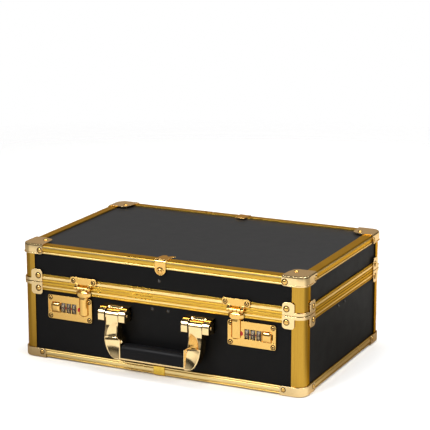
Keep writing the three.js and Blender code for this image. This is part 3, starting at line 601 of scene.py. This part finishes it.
def addMount(side, sideName):
    build = bmesh.new()
    centre = side * armCentre
    toPoint = lambda y, z, x: (x, y, z)
    back = panelFace - 0.3
    body = [(back, mount["roofBack"]), (back, mount["low"]), (pin.y + 7.8, mount["low"] + 1)]
    body += [(pin.y + 7.8, 80), (pin.y + 5.2, 82.6), (pin.y + 3.2, 84.0)]
    body += [(pin.y + 5.0, mount["roofFront"] + 0.3)]
    prism(build, body, centre - mount["earOuter"], centre + mount["earOuter"], toPoint)
    crown = (pin.y + 2.2, pin.z + 0.8)  # centre of the ears' rounded fronts
    reach, rise = crown[0] - (pin.y - 8.0), mount["roofFront"] - crown[1]
    ear = [(back, mount["roofBack"] - 0.02), (back, mount["low"] + 0.2), (pin.y - 6.4, mount["low"] + 1.2)]
    ear += [(pin.y - 8.0, mount["low"] + 2.6)]
    ear += [(crown[0] + reach * u, crown[1] + rise * v) for u, v in arc(0, 0, 1, 180, 90, 14)]
    for end in (-1, 1):
        near, far = centre + end * mount["earInner"], centre + end * mount["earOuter"]
        prism(build, ear, near, far, toPoint)
    lip = [(pin.y + 6.6, 87.0), (pin.y + 6.6, 83), (pin.y + 3.4, 83.2)]
    lip += [(pin.y + 2.8, 84.6), (pin.y + 4.8, 86.8)]
    prism(build, lip, centre - mount["lipHalf"], centre + mount["lipHalf"], toPoint)
    for end in (-1, 1):
        face = Vector((centre + end * mount["earOuter"], pin.y, pin.z))
        turn(build, [(2.1, -0.2), (2.1, 0.3), (1.5, 0.7), (0.4, 0.8)], face, (end, 0, 0), 18)
    obj = addObject("handle_mount_cast_" + sideName, build, "handleGold", "base", 30)
    roundEdges(obj, 0.5)
    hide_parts("handle_mount_" + sideName)


addHandleFrame()
addGrip()
for side, sideName in ((-1, "left"), (1, "right")):
    addMount(side, sideName)
print("handle built")


# The latches: hasps, buttons, dials and the red marks beside them.
latch = {
    "haspX": 108.2,
    "halfWidth": 6.0,
    "shoulder": 10.6,
    "neck": 7.2,
    "pivot": (-129.05, 102.6),
    "inner": -127.15,
    "thick": 3.9,
    "dialX": (123.0, 131.0, 139.0),
    "dialY": -119.95,
    "dialZ": 72.5,
    "dialProfile": ((-3.0, 6.6, 0), (-3.0, 8.0, 0.6), (-2.2, 8.3, 0.7), (-1.9, 7.9, 0)),  # to the middle
    "digitLift": 7.95,
    "markX": (127.0, 135.0),
    "haspMarkX": 114.6,
}


def haspHalf(z):
    half = latch["halfWidth"] + (latch["shoulder"] - latch["halfWidth"]) * smoothStep(89, 93, z)
    return half - (latch["shoulder"] - latch["neck"]) * smoothStep(97.4, 99.6, z)


def addHasp(side, sideName):
    build = bmesh.new()
    x0 = side * latch["haspX"]
    rings = []
    for i in range(61):
        z = 65.3 + (99.6 - 65.3) * i / 60
        half = haspHalf(z) - 2.2 * (1 - smoothStep(65.3, 67.8, z)) ** 2
        thick = latch["thick"] - 1.6 * (1 - smoothStep(65.3, 67.0, z)) - 1.0 * smoothStep(88, 92, z)
        thick -= 1.4 * smoothStep(96.5, 99.6, z)
        flank = min(half * 0.46, 3.6)
        front, back = latch["inner"] - thick, latch["inner"]
        ring = [(x0 - half, back), (x0 - half, front + 2.9), (x0 - half + 0.4, front + 2.4)]
        ring += [(x0 - half + flank, front + 0.1), (x0 - half + flank + 0.4, front)]
        ring += [(x0 + half - flank - 0.4, front), (x0 + half - flank, front + 0.1)]
        ring += [(x0 + half - 0.4, front + 2.4), (x0 + half, front + 2.9), (x0 + half, back)]
        rings.append([(x, y, z) for x, y in ring])
    loft(build, rings)
    pivotY, pivotZ = latch["pivot"]
    for start, end in ((-7.2, -2.9), (-2.5, 2.5), (2.9, 7.2)):
        place = (x0 + start, pivotY, pivotZ)
        long = end - start
        turn(build, [(2.3, 0), (2.7, 0.3), (2.7, long - 0.3), (2.3, long)], place, (1, 0, 0), 24)
    obj = addObject("hasp_cast_" + sideName, build, "plateGold", "hasp_" + sideName, 24)
    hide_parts("hasp_" + sideName)


def addButton(side, sideName):
    build = bmesh.new()
    x0, half, tall, steps = side * 149.7, 6.4, 6.7, 24
    rows = []
    for i in range(steps + 1):
        v = 2 * i / steps - 1
        row = []
        for j in range(steps + 1):
            u = 2 * j / steps - 1
            rise = 3.5 * (1 - abs(u) ** 5) ** 0.5 * (1 - abs(v) ** 4) ** 0.5
            rise -= 0.5 * smoothStep(-0.2, 1.0, v)
            point = Vector((x0 + half * u, plateFace + 0.5 - rise, latch["dialZ"] + tall * v))
            row.append(build.verts.new(point * mm))
        rows.append(row)
    for near, far in zip(rows, rows[1:]):
        for a, b, c, d in zip(near, near[1:], far[1:], far):
            build.faces.new((a, b, c, d))
    name, body = "latch_button_domed_" + sideName, "button_" + sideName
    obj = addObject(name, build, "plateGold", body, 60)
    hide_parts("latch_button_" + sideName)


def digitMesh(character):
    curve = bpy.data.curves.new("digit_" + character, "FONT")
    curve.body = character
    curve.size = 0.0052
    curve.extrude = 0.00012
    curve.align_x = "CENTER"
    curve.align_y = "CENTER"
    holder = bpy.data.objects.new("digit_" + character, curve)
    mesh = bpy.data.meshes.new_from_object(holder)
    bpy.data.objects.remove(holder)
    bpy.data.curves.remove(curve)
    return mesh


def addDial(x, index, sideName, shapes):
    body = "wheel_%s_%d" % (sideName, index)
    build = bmesh.new()
    axis = Vector((x, latch["dialY"], latch["dialZ"]))
    teeth, steps = 20, 120
    rings = []
    profile = latch["dialProfile"]
    profile += tuple((-along, base, depth) for along, base, depth in profile[::-1])
    for along, base, depth in profile:
        ring = []
        for i in range(steps):
            a = 2 * math.pi * i / steps
            radius = base - depth * max(0, math.cos(a * teeth)) ** 2
            ring.append(axis + Vector((along, radius * math.cos(a), radius * math.sin(a))))
        rings.append(ring)
    loft(build, rings)
    obj = addObject("dial_ribbed_%s_%d" % (sideName, index), build, "dialBlack", body, 40)
    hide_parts("dial_%s_%d" % (sideName, index))
    marks = bmesh.new()
    first = random.randrange(10)
    for number in range(10):
        angle = 2 * math.pi * (number + 0.5) / 10
        start = len(marks.verts)
        marks.from_mesh(shapes[(first + number) % 10])
        marks.verts.ensure_lookup_table()
        upright = Matrix.Rotation(math.pi / 2, 4, "X")
        around = Matrix.Rotation(angle, 4, "X")
        lift = Matrix.Translation((0, -latch["digitLift"] * mm, 0))
        place = Matrix.Translation(axis * mm) @ around @ lift @ upright
        bmesh.ops.transform(marks, matrix=place, verts=marks.verts[start:])
    addObject("dial_digits_%s_%d" % (sideName, index), marks, "digitCream", body)


def addRedMarks(side, sideName):
    build = bmesh.new()
    for x in latch["markX"]:
        place = (side * x, plateFace, latch["dialZ"])
        turn(build, [(1.15, -0.1), (1.15, 0.12), (0.8, 0.2)], place, (0, -1, 0), 16)
    place = (side * latch["haspMarkX"], plateFace, latch["dialZ"])
    turn(build, [(3.1, -0.1), (3.1, 0.15), (2.6, 0.25)], place, (0, -1, 0), 24)
    addObject("latch_marks_" + sideName, build, "markRed", "base")


digits = [digitMesh(str(number)) for number in range(10)]
for side, sideName in ((-1, "left"), (1, "right")):
    addHasp(side, sideName)
    addButton(side, sideName)
    addRedMarks(side, sideName)
    for index, x in enumerate(sorted(side * place for place in latch["dialX"]), 1):
        addDial(x, index, sideName, digits)
for mesh in digits:
    bpy.data.meshes.remove(mesh)
print("latches built")


# Rivets and screws: one mesh of each kind, placed where the plates and caps have them.
fixing = {
    "rivetRadius": 3.0,
    "smallRadius": 2.4,
    "blackRadius": 1.9,
    "screwRadius": 2.3,
    "hingeRadius": 1.7,
    "rivetHeight": 1.3,
    "smallHeight": 1.1,
    "blackHeight": 1.0,
    "gap": 1.42,  # the dark ring's radius over the head's
}


def rivetBuild(radius, height):
    build = bmesh.new()
    profile = [(radius * 1.1, -0.3), (radius * 1.1, 0.12), (radius, 0.2)]
    dome = (0.15, 0.35, 0.6, 0.85, 1.1, 1.35, 1.5)
    profile += [(radius * math.cos(a), 0.2 + height * math.sin(a)) for a in dome]
    turn(build, profile, (0, 0, 0), (0, 0, 1), 24)
    return addGap(build, radius)


# A painted shadow: a dark ring round the foot of a head, standing in for the shade where the head meets the
# surface under it.
def addGap(build, radius):
    start = len(build.faces)
    outer = radius * fixing["gap"]
    turn(build, [(outer, -0.3), (outer, 0.06), (radius, 0.07)], (0, 0, 0), (0, 0, 1), 24)
    build.faces.ensure_lookup_table()
    for face in build.faces[start:]:
        face.material_index = 1
    return build


def screwBuild(radius):
    build = bmesh.new()
    profile = [(radius, -0.3), (radius, 0.1), (radius * 0.93, 0.45), (radius * 0.75, 0.68)]
    profile += [(radius * 0.62, 0.72), (radius * 0.56, 0.2), (radius * 0.2, 0.1)]
    turn(build, profile, (0, 0, 0), (0, 0, 1), 24)
    # The cross slot: dark bars in the painted shadow material, standing in for the shade inside the slot.
    start = len(build.faces)
    for angle in (0, math.pi / 2):
        reach, cos, sin = radius * 0.62, math.cos(angle), math.sin(angle)
        bar = [(-reach, -0.28), (reach, -0.28), (reach, 0.28), (-reach, 0.28)]
        turned = [(u * cos - v * sin, u * sin + v * cos) for u, v in bar]
        prism(build, turned, 0.0, 0.74, lambda u, v, w: (u, v, w))
    build.faces.ensure_lookup_table()
    for face in build.faces[start:]:
        face.material_index = 1
    return addGap(build, radius)


def sharedMesh(name, build, material):
    bmesh.ops.recalc_face_normals(build, faces=build.faces)
    mesh = bpy.data.meshes.new(name)
    build.to_mesh(mesh)
    build.free()
    mesh.polygons.foreach_set("use_smooth", [True] * len(mesh.polygons))
    mesh.set_sharp_from_angle(angle=math.radians(38))
    mesh.materials.append(materials[material])
    # The second material is the painted shadow of the rings and the slots.
    mesh.materials.append(materials["paintedShadow"])
    return mesh


def placeFixing(mesh, name, place, outwards, body):
    obj = bpy.data.objects.new(name, mesh)
    bpy.context.scene.collection.objects.link(obj)
    turnTo = Vector((0, 0, 1)).rotation_difference(Vector(outwards)).to_matrix().to_4x4()
    spin = Matrix.Rotation(random.uniform(0, math.pi), 4, "Z")
    obj.matrix_world = Matrix.Translation(Vector(place) * mm) @ turnTo @ spin
    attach(obj, body)


rivet = sharedMesh("rivet", rivetBuild(fixing["rivetRadius"], fixing["rivetHeight"]), "plateGold")
smallRivet = sharedMesh("small_rivet", rivetBuild(fixing["smallRadius"], fixing["smallHeight"]), "plateGold")
blackRivet = sharedMesh("black_rivet", rivetBuild(fixing["blackRadius"], fixing["blackHeight"]), "rivetBlack")
screw = sharedMesh("screw", screwBuild(fixing["screwRadius"]), "plateGold")
hingeScrew = sharedMesh("hinge_screw", screwBuild(fixing["hingeRadius"]), "postGold")

for sideX, nameX in ((-1, "left"), (1, "right")):
    for sideY, nameY in ((-1, "front"), (1, "back")):
        corner = nameY + "_" + nameX
        cornerX, cornerY = sideX * caseCorner.x, caseY + sideY * caseCorner.y
        for body, piece, mesh, along, across, proud, z in (
            ("lid", "top_cap", rivet, 26.7, 31.0, 1.3, 145.9),
            ("lid", "lid_bracket", rivet, 24.0, 24.0, 1.5, 112.2),
            ("base", "base_bracket", rivet, 24.0, 24.0, 1.5, 95.2),
            ("base", "bottom_cap", smallRivet, 27.1, 27.1, 1.3, 7.9),
        ):
            name = "%s_rivet_%s_" % (piece, corner)
            ahead = (cornerX - sideX * along, cornerY + sideY * proud, z)
            aside = (cornerX + sideX * proud, cornerY - sideY * across, z)
            placeFixing(mesh, name + "a", ahead, (0, sideY, 0), body)
            placeFixing(mesh, name + "b", aside, (sideX, 0, 0), body)
        onTop = (cornerX - sideX * 21.5, cornerY - sideY * 23.0, 153.9)
        placeFixing(rivet, "top_cap_rivet_%s_c" % corner, onTop, (0, 0, 1), "lid")
    for end, z in ((-1, "low"), (1, "high")):
        for across in (-1, 1):
            place = (sideX * 129.2 + across * 28.8, plateFace, 72.5 + end * 12.3)
            placeFixing(screw, "plate_screw_%s_%s_%d" % (nameX, z, across + 2), place, (0, -1, 0), "base")
    for across in (-1, 1):
        place = (sideX * latch["haspX"] + across * 14.6, -127.55, 111.6)
        placeFixing(screw, "hasp_bracket_screw_%s_%d" % (nameX, across + 2), place, (0, -1, 0), "lid")
    for index, y in enumerate((-8.75, 13.25), 1):
        name = "wall_rivet_%s_%d" % (nameX, index)
        placeFixing(blackRivet, name, (sideX * 197.5, y, 87), (sideX, 0, 0), "base")
for index, (x, z, body) in enumerate(((-10, 87, "base"), (12.4, 87, "base"), (0, 125, "lid")), 1):
    placeFixing(blackRivet, "front_rivet_%d" % index, (x, panelFace, z), (0, -1, 0), body)
for index in range(9):
    x = -149 + index * 37.25
    for body, z in (("base", 96.4), ("lid", 110.5)):
        name = "hinge_screw_%s_%d" % (body, index + 1)
        placeFixing(hingeScrew, name, (x, 142.0, z), (0, 1, 0), body)
print("rivets and screws placed")


# Clips over the joints of the rails.
clip = {"half": 8.0, "middle": 3.0, "wall": 0.8}


def strap(build, path, half, middle, roundEnd):
    rings = []
    count = len(path)
    lengths = [0.0]
    for near, far in zip(path, path[1:]):
        lengths.append(lengths[-1] + math.dist(near, far))
    for i, (y, z) in enumerate(path):
        before, after = path[max(i - 1, 0)], path[min(i + 1, count - 1)]
        along = Vector((after[0] - before[0], after[1] - before[1])).normalized()
        out = Vector((along.y, -along.x)) * clip["wall"]
        left = max(lengths[-1] - lengths[i], 0.0) if roundEnd else half
        width = half * math.sqrt(max(1 - (1 - min(left / half, 1)) ** 2, 0.02))
        inner = [(middle - width, y, z), (middle + width, y, z)]
        outer = [(middle + width - 0.3, y + out.x, z + out.y), (middle - width + 0.3, y + out.x, z + out.y)]
        rings.append(inner + outer)
    loft(build, rings)


def addFrontClip():
    build = bmesh.new()
    face = -126.0
    path = [(-113.0, 152.8), (-123.4, 152.8)] + arc(-123.6, 150.3, 2.5, 90, 180, 5)
    path += [(face - 0.1, z) for z in (146, 142, 139.5, 138, 137, 136, 135.2, 134.6, 134.1, 133.8, 133.5)]
    strap(build, path, clip["half"], clip["middle"], True)
    tail = [(-4.8, -124), (10.8, -124), (12.4, -112), (14.2, -105), (9.6, -103.2), (5.4, -108)]
    tail += [(0.8, -103.2), (-3.8, -105), (-5.4, -112)]
    prism(build, tail, 152.8, 153.7, lambda x, y, z: (x, y, z))
    roundEdges(addObject("top_rail_clip_front", build, "plateGold", "lid"), 0.3)
    ring = bmesh.new()
    place = (clip["middle"], face - 0.8, 139.3)
    profile = [(5.2, -0.4), (5.2, 0.3), (4.6, 0.9), (3.9, 1.0), (3.5, 0.4), (2.9, 0.4)]
    profile += [(2.6, 1.3), (1.6, 1.9), (0.5, 2.1)]
    turn(ring, profile, place, (0, -1, 0), 32)
    addObject("top_rail_clip_rivet", ring, "plateGold", "lid")


def addBottomClip():
    build = bmesh.new()
    path = [(-113, 1.1), (-123.2, 1.0)] + arc(-123.4, 3.6, 2.6, 270, 180, 5)
    path += [(-126.0, 8), (-126.0, 12.4), (-125.4, 12.9)]
    strap(build, path[::-1], clip["half"], 0.3, False)
    roundEdges(addObject("bottom_rail_clip_front", build, "clipGold", "base"), 0.25)


def addBackClip():
    build = bmesh.new()
    backFace = 140.5
    path = [(118, 152.8), (137.6, 152.8)] + arc(137.9, 150.2, 2.6, 90, 0, 5)
    path += [(backFace, z) for z in (146, 141.5, 139)]
    rings = []
    for i, (y, z) in enumerate(path):
        half = 6.4 + 2.2 * smoothStep(118, 137, y)
        out = Vector((0, 1)) if i < 2 else Vector((y - 137.9, max(z, 150.2) - 150.2)).normalized()
        outerY, outerZ = y + out.x * clip["wall"], z + out.y * clip["wall"]
        inner = [(0.5 - half, y, z), (0.5 + half, y, z)]
        outer = [(0.5 + half - 0.3, outerY, outerZ), (0.5 - half + 0.3, outerY, outerZ)]
        rings.append(inner + outer)
    loft(build, rings)
    roundEdges(addObject("top_rail_clip_back", build, "plateGold", "lid"), 0.25)


addFrontClip()
addBottomClip()
addBackClip()
print("clips built")


# The egg-box foam in the lid.
foam = {"halfX": 186.0, "halfY": 120.0, "low": 132.3, "high": 146.3, "wave": 22.0, "depth": 3.4}


def addFoam():
    build = bmesh.new()
    countX, countY = 132, 86
    top, under = [], []
    for j in range(countY + 1):
        for i in range(countX + 1):
            x = foam["halfX"] * (2 * i / countX - 1)
            y = foam["halfY"] * (2 * j / countY - 1)
            edge = smoothStep(0, 9, min(foam["halfX"] - abs(x), foam["halfY"] - abs(y)))
            egg = math.sin(2 * math.pi * x / foam["wave"]) * math.sin(2 * math.pi * y / foam["wave"])
            z = foam["low"] + foam["depth"] * (0.5 + 0.5 * egg) * edge + 1.5 * (1 - edge)
            under.append(build.verts.new(Vector((x, y + caseY, z)) * mm))
            top.append(build.verts.new(Vector((x, y + caseY, foam["high"])) * mm))
    row = countX + 1
    for j in range(countY):
        for i in range(countX):
            a = j * row + i
            for level in (under, top):
                build.faces.new((level[a], level[a + 1], level[a + row + 1], level[a + row]))
    edges = [e for e in build.edges if len(e.link_faces) == 1]
    bmesh.ops.bridge_loops(build, edges=edges)
    obj = addObject("lid_foam_profiled", build, "foamGrey", "lid", 60)
    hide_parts("lid_foam_liner")


addFoam()
print("foam built")


studio = {
    "floorRadius": 1.7,
    "floorFade": 0.9,  # the floor melts into the backdrop from here outwards
    "floorSeen": (0.93, 0.93, 0.93, 1),
    "floorMirrored": (0.74, 0.72, 0.68, 1),  # what the metal picks up from the floor
    # Painted shade: the floor's colour for reflected rays only, darker towards the right and left, while the
    # camera sees it evenly pale.
    "floorPaintedShade": (0.27, 0.25, 0.222, 1),  # and from its dim parts, to the right and left
    "dimRight": (0.966, 0.259, 0.0),
    "dimLeft": (-0.995, -0.1, 0.0),
    "backdrop": 1.0,
    "roomTint": (1.0, 0.97, 0.93, 1),
    "roomFoot": 0.05,
    "roomLow": 0.44,
    "roomHigh": 0.1,
    "azimuth": 25.47,
    "elevation": 13.65,
    "distance": 2.1741,
    "lens": 138.3,
    "lights": {
        "key": ((-0.9, -2.0, 1.9), (0, -0.3, 0.0), (1.3, 1.0), 70),
        "side": ((2.3, -0.5, 1.5), (0.2, 0, 0.0), (0.9, 1.2), 26),
        "overhead": ((0.2, 0.4, 2.3), (0, 0, 0), (1.6, 1.2), 45),
        "rear": ((1.0, 2.0, 2.2), (0, 0.2, 0.0), (0.8, 0.8), 14),
    },
}


def addFloor():
    mesh = bpy.data.meshes.new("studio_floor")
    build = bmesh.new()
    bmesh.ops.create_circle(build, cap_ends=True, segments=96, radius=studio["floorRadius"])
    build.to_mesh(mesh)
    build.free()
    floor = bpy.data.objects.new("studio_floor", mesh)
    bpy.context.scene.collection.objects.link(floor)
    floor.location.z = -0.0002
    material, tree, surface = startMaterial("studioFloor", {"Roughness": 0.9, "Specular IOR Level": 0.1})
    path = addNode(tree, "LightPath")
    place = addNode(tree, "TexCoord")
    away = addNode(tree, "VectorMath", {0: place.outputs["Object"]}, operation="NORMALIZE")
    # Painted shade on the floor: darker to the right and left for reflected rays, so the metal picks up dark
    # bands there.
    sides = []
    for towards, low, high in ((studio["dimRight"], 0.75, 0.96), (studio["dimLeft"], 0.56, 0.88)):
        turned = addNode(tree, "VectorMath", {0: away.outputs[0], 1: towards}, operation="DOT_PRODUCT")
        sides.append(spread(tree, turned.outputs["Value"], low, high))
    dim = addNode(tree, "Math", {0: sides[0], 1: sides[1]}, operation="MAXIMUM").outputs[0]
    mirrored = blendColour(tree, dim, studio["floorMirrored"], studio["floorPaintedShade"])
    tone = blendColour(tree, path.outputs["Is Camera Ray"], mirrored, studio["floorSeen"])
    tree.links.new(tone, surface.inputs["Base Color"])
    length = addNode(tree, "VectorMath", {0: place.outputs["Object"]}, operation="LENGTH")
    fade = spread(tree, length.outputs["Value"], studio["floorFade"], studio["floorRadius"], 1.0, 0.0)
    tree.links.new(fade, surface.inputs["Alpha"])
    mesh.materials.append(material)


def addLight(name, place, target, size, power):
    light = bpy.data.lights.new(name, "AREA")
    light.shape = "RECTANGLE"
    light.size, light.size_y = size
    light.energy = power
    obj = bpy.data.objects.new(name, light)
    obj.location = place
    obj.rotation_euler = (Vector(target) - Vector(place)).to_track_quat("-Z", "Y").to_euler()
    bpy.context.scene.collection.objects.link(obj)


def addWorld():
    world = bpy.data.worlds.new("studio")
    world.use_nodes = True
    bpy.context.scene.world = world
    tree = world.node_tree
    ground = tree.nodes["Background"]
    place = addNode(tree, "TexCoord")
    parts = addNode(tree, "SeparateXYZ", {0: place.outputs["Generated"]})
    skirting = spread(tree, parts.outputs[2], 0.05, 0.15, studio["roomFoot"], studio["roomLow"])
    walls = spread(tree, parts.outputs[2], 0.25, 0.8, studio["roomLow"], studio["roomHigh"])
    height = addNode(tree, "Math", {0: skirting, 1: walls}, operation="MINIMUM").outputs[0]
    path = addNode(tree, "LightPath")
    seen = path.outputs["Is Camera Ray"]
    shown = addNode(tree, "Mix", {0: seen, 2: height, 3: studio["backdrop"]}, data_type="FLOAT")
    tone = blendColour(tree, seen, studio["roomTint"], (1, 1, 1, 1))
    tree.links.new(tone, ground.inputs["Color"])
    tree.links.new(shown.outputs[0], ground.inputs["Strength"])


def addCamera():
    azimuth, elevation = math.radians(studio["azimuth"]), math.radians(studio["elevation"])
    target = Vector((15.6, caseY, 183.5)) * mm
    level = math.cos(elevation)
    away = Vector((math.sin(azimuth) * level, -math.cos(azimuth) * level, math.sin(elevation)))
    camera = bpy.data.cameras.new("camera")
    camera.lens = studio["lens"]
    camera.sensor_width = 36
    camera.dof.use_dof = False
    obj = bpy.data.objects.new("camera", camera)
    obj.location = target + away * studio["distance"]
    obj.rotation_euler = (-away).to_track_quat("-Z", "Y").to_euler()
    bpy.context.scene.collection.objects.link(obj)
    bpy.context.scene.camera = obj


addFloor()
addWorld()
addCamera()
for name, (place, target, size, power) in studio["lights"].items():
    addLight(name, place, target, size, power)
bpy.context.scene.view_settings.view_transform = "Standard"
print("studio ready")
